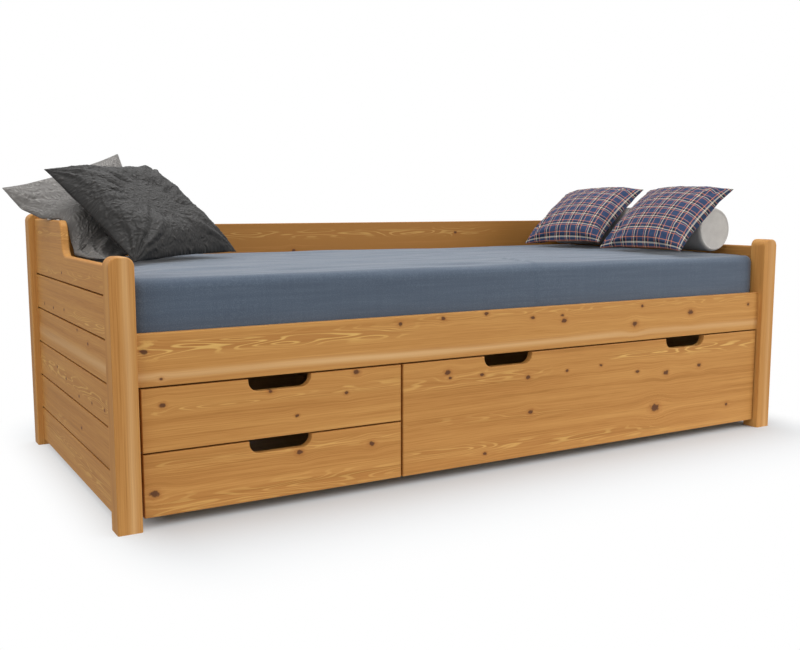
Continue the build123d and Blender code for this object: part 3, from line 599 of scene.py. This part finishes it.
def make_mattress(material):
    """The mattress in its sheet: rings round a rounded rectangle, from under the middle, up the rolled side
    and over the top to the middle line. Each ring is the outline moved inwards by its inset. The top has
    long shallow wrinkles along the bed, the side faint hollows, and one pleat stands out near the bed's
    middle."""
    low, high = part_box("mattress")
    half_x, half_y = (high.x - low.x) / 2, (high.y - low.y) / 2
    bottom, crown_top = low.z, high.z
    crown, roll, corner_radius = 0.008, 0.024, 0.045
    still_below, pleat_x, pleat_width = 0.43, 0.112, 0.05
    side_top = crown_top - crown
    insets = [half_y, 0.3, 0.15, roll]
    heights = [bottom] * 4
    for turn in np.linspace(0, math.pi / 2, 6)[1:]:
        insets.append(roll * (1 - math.sin(turn)))
        heights.append(bottom + roll * (1 - math.cos(turn)))
    for z in np.linspace(bottom + roll, side_top - roll, 14)[1:]:
        insets.append(0.0)
        heights.append(z)
    for turn in np.linspace(0, math.pi / 2, 10)[1:]:
        insets.append(roll * (1 - math.cos(turn)))
        heights.append(side_top - roll + roll * math.sin(turn))
    top_insets = np.linspace(roll, half_y, 62)[1:]
    insets += list(top_insets)
    rise = np.clip((top_insets - roll) / 0.16, 0, 1)
    heights += list(side_top + crown * np.sin(rise * math.pi / 2))
    insets, heights = np.array(insets), np.array(heights)
    long_count, short_count, corner_count = 240, 90, 10
    corner = np.maximum(corner_radius - insets, 0.004)
    rings = []
    for inset, radius, z in zip(insets, corner, heights):
        a, b = half_x - inset, max(half_y - inset, 1e-5)
        radius = min(radius, b)
        ring = []
        for quarter, (cx, cy) in enumerate(((1, 1), (-1, 1), (-1, -1), (1, -1))):
            turn = np.linspace(0, math.pi / 2, corner_count + 1) + quarter * math.pi / 2
            arc_x = cx * (a - radius) + radius * np.cos(turn)
            arc_y = cy * (b - radius) + radius * np.sin(turn)
            ring.append(np.stack([arc_x, arc_y], 1))
            count = long_count if quarter % 2 == 0 else short_count
            nx, ny = ((-1, 1), (-1, -1), (1, -1), (1, 1))[quarter]
            next_turn = (quarter + 1) * math.pi / 2
            start = ring[-1][-1]
            end_x = nx * (a - radius) + radius * math.cos(next_turn)
            end = np.array([end_x, ny * (b - radius) + radius * math.sin(next_turn)])
            share = np.linspace(0, 1, count + 1)[1:-1, None]
            ring.append(start + (end - start) * share)
        flat = np.concatenate(ring)
        rings.append(np.column_stack([flat, np.full(len(flat), z)]))
    points = np.array(rings)
    around = points.shape[1]
    x, y, z = points[..., 0], points[..., 1], points[..., 2]
    out = np.stack([np.gradient(x, axis=1), np.gradient(y, axis=1), np.gradient(z, axis=1)], -1)
    up = np.stack([np.gradient(x, axis=0), np.gradient(y, axis=0), np.gradient(z, axis=0)], -1)
    normal = np.cross(out, up)
    normal /= np.maximum(np.linalg.norm(normal, axis=2, keepdims=True), 1e-12)
    topness = np.clip((z - side_top + 0.01) / 0.012, 0, 1)
    wrinkle = hills(x * 2.2 + 0.5 * y, y * 19 + 1.2 * hills(x * 1.7, y * 2.3, 5), 6)
    wrinkle += 0.6 * hills(x * 4.5, y * 42 + 1.5 * hills(x * 2.4, y * 4, 7), 8)
    wrinkle += 0.8 * hills(x * 1.1, y * 4.5, 9)
    sideness = 1 - topness
    hollow = 0.9 * hills(x * 3.1 + 30 * y, z * 12, 11) + 0.6 * hills(x * 9, z * 22 + 40 * y, 12)
    pleat = np.where(x > pleat_x, np.exp(-(x - pleat_x) / pleat_width), 0.0) * (y < -0.3)
    pleat *= np.clip((z - still_below) / 0.02, 0, 1)
    move = 0.0048 * wrinkle * topness + 0.0012 * hollow * sideness + 0.0022 * pleat
    move = np.where(z < still_below, 0.0, move)
    points = points + normal * move[..., None]
    number = np.arange(points.shape[0] * around).reshape(points.shape[0], around)
    nxt = np.roll(number, -1, axis=1)
    faces = np.stack([number[:-1], nxt[:-1], nxt[1:], number[1:]], -1).reshape(-1, 4)
    piece = new_piece("mattress_in_its_sheet", points.reshape(-1, 3), faces, material)
    weld(piece)
    return piece


def weld(piece):
    """Merges doubled points, drops what that flattens, and turns every face outwards."""
    work = bmesh.new()
    work.from_mesh(piece.data)
    bmesh.ops.remove_doubles(work, verts=work.verts, dist=5e-5)
    bmesh.ops.dissolve_degenerate(work, edges=work.edges, dist=1e-6)
    bmesh.ops.recalc_face_normals(work, faces=work.faces)
    work.to_mesh(piece.data)
    work.free()
    piece.data.polygons.foreach_set("use_smooth", np.ones(len(piece.data.polygons), bool))


def make_bolster(material):
    """The bolster: a profile turned about its axis, flat round ends let in behind a corded seam, sides a
    little full, with small gathers that run in from the seam."""
    low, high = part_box("bolster")
    x0, z0 = (low.x + high.x) / 2, (low.z + high.z) / 2
    radius = (high.x - low.x) / 2
    start, end = low.y, high.y
    edge, seam_radius, gather_length = 0.010, 0.066, 0.05
    # (radius, depth from the end) over the flat end and its corded seam
    profile = [(0.0, 0.003), (0.02, 0.003), (0.035, 0.0028), (0.048, 0.0022), (0.056, 0.0015)]
    profile += [(0.0605, 0.0012), (0.0625, -0.0004), (0.064, 0.0006), (0.0655, 0.0022)]
    for turn in np.linspace(0.35, math.pi / 2, 6):
        profile.append((radius - edge + edge * math.sin(turn), edge - edge * math.cos(turn)))
    depth = np.linspace(0.02, (end - start) / 2, 40)
    profile += [(radius - 0.00018 * math.sin(d * 60), d) for d in depth]
    profile = np.array(profile)
    far = profile[::-1][1:].copy()
    far[:, 1] = (end - start) - far[:, 1]
    profile = np.concatenate([profile, far])
    count = 96
    turn = np.linspace(0, 2 * math.pi, count, endpoint=False)
    r = profile[:, 0][:, None] * np.ones(count)
    d = profile[:, 1][:, None] * np.ones(count)
    around = turn[None, :] * np.ones((len(profile), 1))
    ruffle = hills(around * 5, d * 30, 21) * np.exp(-np.minimum(d, (end - start) - d) / gather_length)
    dents = hills(around * 1.6, d * 7, 22)
    r = r + (r > seam_radius) * (0.0010 * ruffle + 0.0010 * dents - 0.0008)
    points = np.stack([x0 + r * np.sin(around), start + d, z0 + r * np.cos(around)], -1)
    number = np.arange(points.shape[0] * count).reshape(-1, count)
    nxt = np.roll(number, -1, axis=1)
    faces = np.stack([number[:-1], nxt[:-1], nxt[1:], number[1:]], -1).reshape(-1, 4)
    piece = new_piece("bolster_cover", points.reshape(-1, 3), faces, material)
    weld(piece)
    return piece


def make_cushion(
    name, node, slot_name, corners, front, back, material, count, cap, pull, crease, left_edge=None
):
    """One stuffed square, simulated, subdivided and creased, in place of its CAD node. The crease is its
    depth and its seed."""
    points, faces, cloth = cushion_grid(corners, front, back, count, pull, left_edge)
    piece = new_piece(name, points, faces, material)
    store_cloth(piece.data, cloth)
    stuff(piece, cap)
    subdivide(piece)
    crush(piece, *crease)
    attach(piece, node)
    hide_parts(node)
    return piece


sheet_material = jersey_sheet()
mattress = make_mattress(sheet_material)
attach(mattress, "mattress")
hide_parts("mattress")

bolster = make_bolster(white_ticking())
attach(bolster, "bolster")
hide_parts("bolster")

dark_corners = square_corners((-0.7105, -0.0075, 0.568), 29.5, 36.5, 1.3, 0.398)
# from hollow to ridge: the charcoal cloth's colour with painted crease shade and painted highlight
dark_tones_and_crease_shade = [(0.0, "#171513"), (0.45, "#262320"), (1.0, "#57524C")]
dark_cloth = crushed_cloth("charcoal crushed taffeta", dark_tones_and_crease_shade, 3.0)
dark_sizes = dict(front=0.068, back=0.018, count=96, cap=0.014, pull=0.04, crease=(0.0052, 31))
dark_pillow = make_cushion(
    "dark_pillow_cover", "dark_pillow", "dark_grey_fabric", dark_corners, material=dark_cloth, **dark_sizes
)

# the light pillow's left edge hangs down inside the end boards, then bends over the raised end
light_edge = [
    (-0.9305, -0.0395, 0.5724),
    (-0.9725, 0.0045, 0.5736),
    (-0.9935, 0.0525, 0.5796),
    (-0.9955, 0.0845, 0.6130),
    (-0.9965, 0.1245, 0.6560),
    (-1.0035, 0.1685, 0.6708),
    (-1.0425, 0.2185, 0.6708),
    (-1.0865, 0.2585, 0.6950),
    (-1.1285, 0.2905, 0.7548),
]
light_corners = (light_edge[0], (-0.6905, 0.3005, 0.575), (-0.7745, 0.4405, 0.861), light_edge[-1])
# from hollow to ridge: the mid-grey cloth's colour with painted crease shade and painted highlight
light_tones_and_crease_shade = [(0.0, "#6A6764"), (0.45, "#85827E"), (1.0, "#B8B4AF")]
light_cloth = crushed_cloth("mid-grey crushed taffeta", light_tones_and_crease_shade, 9.0)
light_sizes = dict(front=0.034, back=0.016, count=90, cap=0.005, pull=0.05, crease=(0.0048, 41))
light_pillow = make_cushion(
    "light_pillow_cover", "light_pillow", "light_grey_fabric", light_corners,
    material=light_cloth, left_edge=light_edge, **light_sizes
)

plaid = plaid_cloth()
plaid_sizes = dict(front=0.058, back=0.012, count=60, cap=0.008, pull=0.06)
rear_corners = square_corners((0.6755, 0.1245, 0.573), -76.5, 34.1, 2.4, 0.325)
rear_plaid = make_cushion(
    "rear_plaid_cover", "rear_plaid_cushion", "plaid_fabric", rear_corners,
    material=plaid, crease=(0.0034, 51), **plaid_sizes
)
front_corners = square_corners((0.6695, -0.2615, 0.566), -83.2, 35.9, 0.4, 0.325)
front_plaid = make_cushion(
    "front_plaid_cover", "front_plaid_cushion", "plaid_fabric", front_corners,
    material=plaid, crease=(0.0034, 67), **plaid_sizes
)

# Wood

# knots and flames that the photograph shows: (along, across, radius) from the board's middle, in
# metres, and (middle, slope, width, start, end, strength)
BOARDS = {
    "front_rail": dict(
        knots=[
            (-0.967, 0.019, 0.006), (-0.931, -0.043, 0.003), (-0.328, 0.040, 0.005), (-0.2, 0.046, 0.005),
            (-0.065, 0.051, 0.005), (0.088, 0.031, 0.005), (0.19, 0.032, 0.004), (0.197, 0.017, 0.0065),
            (0.461, -0.009, 0.0075), (0.488, 0.042, 0.0045), (0.687, 0.013, 0.0075), (0.94, 0.023, 0.0045)
        ],
        flames=[(0.023, 0.0, 0.016, -1.0, -0.3, 1.0), (0.044, 0.0, 0.012, -0.3, 0.95, 0.35)],
        # the pale streak low on the rail: a sapwood band and a painted satin highlight
        pale=(-0.036, 0.009, 0.5),
        tone=0.52,
    ),
    "large_drawer_front": dict(
        knots=[
            (-0.518, 0.112, 0.0065), (-0.51, 0.097, 0.004), (-0.41, 0.097, 0.005), (-0.257, 0.076, 0.006),
            (-0.121, 0.082, 0.0045), (0.003, 0.087, 0.004), (0.145, 0.056, 0.0055), (0.26, 0.043, 0.007),
            (0.399, 0.054, 0.006), (0.219, -0.059, 0.012), (-0.247, -0.021, 0.006),
            (-0.398, -0.118, 0.0045), (0.527, -0.081, 0.0045)
        ],
        flames=[
            (0.108, 0.0, 0.014, 0.05, 0.64, 0.9), (0.086, 0.0, 0.018, -0.65, -0.2, 0.55),
            (-0.115, -0.035, 0.016, -0.65, 0.25, 0.6), (-0.034, -0.03, 0.01, -0.65, -0.1, 0.3)
        ],
        tone=0.46,
    ),
    "upper_drawer_front": dict(
        knots=[
            (-0.279, 0.032, 0.0055), (-0.025, 0.038, 0.004), (0.041, -0.027, 0.004),
            (0.172, 0.015, 0.0045), (0.2, 0.063, 0.0065)
        ],
        flames=[(0.02, 0.0, 0.008, -0.32, 0.3, 0.5), (0.024, 0.02, 0.012, 0.1, 0.33, 0.5)],
        tone=0.49,
    ),
    "lower_drawer_front": dict(
        knots=[(-0.303, -0.018, 0.008), (0.047, 0.03, 0.0065), (0.242, 0.026, 0.0065)],
        flames=[(0.042, 0.0, 0.014, -0.32, 0.33, 0.45), (-0.052, 0.02, 0.03, -0.33, 0.33, 0.45)],
        tone=0.46,
    ),
    "left_end_top_board": dict(
        knots=[(0.081, -0.056, 0.004), (0.336, -0.16, 0.004)],
        flames=[(0.038, 0.01, 0.012, -0.05, 0.42, 0.6), (-0.06, -0.02, 0.014, -0.4, 0.4, 0.45)],
        tone=0.5,
    ),
    "left_end_board_5": dict(
        knots=[(0.336, -0.029, 0.004), (0.209, -0.029, 0.004), (0.068, -0.022, 0.004)],
        flames=[(-0.03, 0.0, 0.014, -0.4, 0.0, 0.8)],
        tone=0.5,
    ),
    "left_end_board_4": dict(
        knots=[(-0.079, 0.041, 0.004), (-0.193, 0.02, 0.0045)],
        # the pale streak: a sapwood band and a painted satin highlight
        pale=(-0.014, 0.012, 0.5),
        tone=0.51,
    ),
    "left_end_board_3": dict(
        knots=[
            (0.192, 0.008, 0.004), (0.08, -0.007, 0.004), (-0.071, -0.028, 0.004), (-0.21, -0.021, 0.004),
            (-0.335, -0.015, 0.004)
        ],
        flames=[(-0.003, 0.01, 0.018, -0.42, 0.42, 0.8)],
        tone=0.5,
    ),
    "left_end_board_2": dict(
        knots=[(-0.085, -0.007, 0.0045)],
        flames=[(-0.03, 0.0, 0.012, 0.1, 0.42, 0.4)],
        tone=0.47,
    ),
    "left_end_board_1": dict(
        knots=[(-0.376, 0.04, 0.004)],
        flames=[(0.0, 0.03, 0.02, -0.42, 0.42, 0.55)],
        tone=0.5,
    ),
    "back_rest_board": dict(
        knots=[(-0.2, -0.02, 0.005), (0.45, 0.03, 0.005)],
        flames=[(0.035, 0.0, 0.014, -0.5, 0.6, 0.5)],
        # a low tone: painted shade, for the lesser light that falls on the back rest
        tone=0.2,
    ),
    "back_rail": dict(
        knots=[(-0.6, 0.01, 0.006), (0.3, -0.02, 0.005), (0.7, 0.03, 0.005)],
        flames=[(0.0, 0.01, 0.02, -0.7, 0.5, 0.4)],
        tone=0.47,
    ),
}
for side in ("front_left", "front_right", "rear_left", "rear_right"):
    # the pale upright streak on each post is a painted satin highlight
    BOARDS[f"{side}_post"] = dict(pale=(0.008, 0.010, 0.35), tone=0.5)
for index in range(1, 6):
    BOARDS[f"right_end_board_{index}"] = dict(
        knots=[(-0.3 + 0.13 * index, 0.02 - 0.009 * index, 0.0045), (0.32 - 0.05 * index, -0.02, 0.004)],
        flames=[(0.02 - 0.01 * index, 0.01, 0.015, -0.4, 0.3, 0.5)],
        tone=0.47 + 0.012 * (index % 3),
    )
BOARDS["right_end_top_board"] = dict(
    knots=[(-0.1, -0.06, 0.0045)],
    flames=[(-0.03, 0.01, 0.014, -0.4, 0.4, 0.5)],
    tone=0.48,
)
# the bare boards with wood of their own; the other bare boards share with one whose grain runs the same way
OWN_BARE_WOOD = ("front_slat_ledge", "slat_01", "slat_05", "large_drawer_back", "large_drawer_side_left")
OWN_BARE_WOOD += ("lower_drawer_back", "lower_drawer_side_left")


def dress(node_name, material):
    """Gives a CAD node its material."""
    mesh = frame["nodes"][node_name].data
    mesh.materials.clear()
    mesh.materials.append(material)


def grain_axis(box):
    """The axis that a board's grain follows: the one of its longest side."""
    size = box[1] - box[0]
    return "XYZ"[max(range(3), key=lambda axis: size[axis])]


slots = {row["node"]: row["material_slot"] for row in frame["record"]["subparts"]}
shared_wood = {}
for order, (node_name, slot_name) in enumerate(sorted(slots.items())):
    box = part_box(node_name)
    grain = grain_axis(box)
    seed = 1 + (order * 37 % 23) / 3
    if slot_name == "stained_pine":
        own = BOARDS.get(node_name, {})
        dress(node_name, stained_pine(f"stained pine {node_name}", box, grain, seed, **own))
    elif node_name in OWN_BARE_WOOD:
        shared_wood[grain] = stained_pine(f"bare pine {node_name}", box, grain, seed, bare=True)
        dress(node_name, shared_wood[grain])
for node_name, slot_name in sorted(slots.items()):
    if slot_name == "bare_pine" and node_name not in OWN_BARE_WOOD:
        dress(node_name, shared_wood[grain_axis(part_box(node_name))])


def small_finish(name, stretch, detail, waves, tones, depth, distance, roughness):
    """An even material whose fine grain, a stretched noise, gives both its tones and its relief."""
    material, tree = new_material(name)
    place = add(tree, "TexCoord").outputs["Object"]
    stretched = add(tree, "VectorMath", {0: place, 1: stretch}, operation="MULTIPLY").outputs[0]
    grain = {"Vector": stretched, "Scale": 1.0, "Detail": detail, "Distortion": waves}
    grain = add(tree, "TexNoise", grain).outputs["Fac"]
    base = add(tree, "ValToRGB", {"Fac": grain}, stops=tones).outputs["Color"]
    bump = add(tree, "Bump", {"Height": grain, "Strength": depth, "Distance": distance}).outputs[0]
    look = {"Base Color": base, "Roughness": roughness, "Normal": bump, "IOR": 1.5}
    finish_material(tree, add(tree, "BsdfPrincipled", look).outputs[0])
    return material


def zinc_plated_steel():
    """Zinc-plated steel screws: bright blue-grey metal, clouded by the plating."""
    material, tree = new_material("zinc-plated steel")
    place = add(tree, "TexCoord").outputs["Object"]
    clouds = add(tree, "TexNoise", {"Vector": place, "Scale": 900.0, "Detail": 3.0}).outputs["Fac"]
    base = add(
        tree, "ValToRGB", {"Fac": clouds}, stops=[(0.3, "#B4B8BC"), (0.7, "#CFD3D6")]
    ).outputs["Color"]
    rough = add(tree, "MapRange", {"Value": clouds, "To Min": 0.28, "To Max": 0.45}).outputs[0]
    look = {"Base Color": base, "Metallic": 1.0, "Roughness": rough}
    finish_material(tree, add(tree, "BsdfPrincipled", look).outputs[0])
    return material


BEECH_TANS = [(0.3, "#B68A63"), (0.55, "#CBA27A"), (0.75, "#D6B18B")]
BIRCH_CREAMS = [(0.3, "#CDAE82"), (0.6, "#DDC298"), (0.8, "#E6CFA9")]
BLACKS = [(0.3, "#161616"), (0.7, "#222222")]
small_finishes = {
    # runners: pinkish tan with short brown flecks along the grain
    "beech": small_finish("planed beech", (260.0, 18.0, 260.0), 3.0, 0.0, BEECH_TANS, 0.2, 0.0004, 0.45),
    # drawer bottoms: pale and close-grained, with a faint wavy figure
    "plywood": small_finish("birch plywood", (6.0, 90.0, 90.0), 4.0, 0.6, BIRCH_CREAMS, 0.15, 0.0003, 0.55),
    # moulded feet: black with a fine spark-eroded grain
    "black_plastic": small_finish("black polythene", (1400.0,) * 3, 2.0, 0.0, BLACKS, 0.3, 0.0003, 0.55),
    "zinc_steel": zinc_plated_steel(),
}
for node_name, slot_name in slots.items():
    if slot_name in small_finishes:
        dress(node_name, small_finishes[slot_name])

# Floor and light

floor_glow = 0.34
world_strength = 0.9
front_share, rear_share = 1.12, 0.55
top_power, key_power, fill_power = 52, 40, 10
FLOOR_REACH = 30


def studio_floor():
    """White floor that turns into a plain white ground half a metre away from the bed, so no horizon shows.
    Its glow is plain white to the eye, and lights the bed less."""
    material, tree = new_material("studio floor")
    place = add(tree, "TexCoord").outputs["Object"]
    place = add(tree, "VectorMath", {0: place, 1: (-0.05, 0, 0)}, operation="ADD").outputs[0]
    size = add(tree, "VectorMath", {0: place}, operation="ABSOLUTE").outputs[0]
    outside = add(tree, "VectorMath", {0: size, 1: (0.95, 0.48, 0)}, operation="SUBTRACT").outputs[0]
    outside = add(tree, "VectorMath", {0: outside, 1: (0, 0, 0)}, operation="MAXIMUM").outputs[0]
    outside = add(tree, "VectorMath", {0: outside, 1: (2.0, 1, 0)}, operation="MULTIPLY").outputs[0]
    away = add(tree, "VectorMath", {0: outside}, operation="LENGTH").outputs["Value"]
    fade = {"Value": away, "From Min": 0.0, "From Max": 0.5}
    share = add(tree, "MapRange", fade, interpolation_type="SMOOTHSTEP").outputs[0]
    seen = add(tree, "LightPath").outputs["Is Camera Ray"]
    strength = add(tree, "MapRange", {"Value": seen, "To Min": floor_glow, "To Max": 1.0}).outputs[0]
    diffuse = add(tree, "BsdfDiffuse", {"Color": (0.66, 0.69, 0.715, 1)}).outputs[0]
    glow = add(tree, "Emission", {"Color": (1, 1, 1, 1), "Strength": strength}).outputs[0]
    finish_material(tree, add(tree, "MixShader", {0: share, 1: diffuse, 2: glow}).outputs[0])
    return material


corners = FLOOR_REACH * np.array([(-1, -1, 0), (1, -1, 0), (1, 1, 0), (-1, 1, 0)], float)
floor = new_piece("floor", corners, np.array([(0, 1, 2, 3)]), studio_floor())

# the ground behind the bed is white to the eye, and lights the bed less than that, least from the rear
world = bpy.data.worlds.new("studio")
world.use_nodes = True
tree = world.node_tree
direction = add(tree, "TexCoord").outputs["Generated"]
rearward = add(tree, "SeparateXYZ", {0: direction}).outputs["Y"]
lit = {"Value": rearward, "From Min": -0.2, "From Max": 0.8}
lit |= {"To Min": front_share * world_strength, "To Max": rear_share * world_strength}
lit = add(tree, "MapRange", lit, interpolation_type="SMOOTHSTEP").outputs[0]
seen = add(tree, "LightPath").outputs["Is Camera Ray"]
strength = add(tree, "MapRange", {"Value": seen, "To Min": lit, "To Max": 1.0}).outputs[0]
tree.nodes["Background"].inputs["Color"].default_value = (1, 1, 1, 1)
tree.links.new(strength, tree.nodes["Background"].inputs["Strength"])
scene.world = world


def add_light(name, place, target, power, size):
    """A square softbox at a place, turned to a target."""
    data = bpy.data.lights.new(name, "AREA")
    data.energy, data.size = power, size
    light = bpy.data.objects.new(name, data)
    back = np.array(place, float) - np.array(target, float)
    light.location = place
    yaw = math.atan2(back[0], -back[1])
    tilt = math.atan2(math.hypot(back[0], back[1]), back[2])
    light.rotation_euler = (tilt, 0, yaw)
    scene.collection.objects.link(light)


add_light("key", (2.6, -2.6, 1.9), (0.2, -0.3, 0.35), key_power, 1.6)
add_light("fill", (-3.2, -1.7, 1.3), (-1.0, 0, 0.35), fill_power, 1.2)
add_light("top", (-0.2, 0.55, 2.9), (0, 0.1, 0.4), top_power, 2.4)
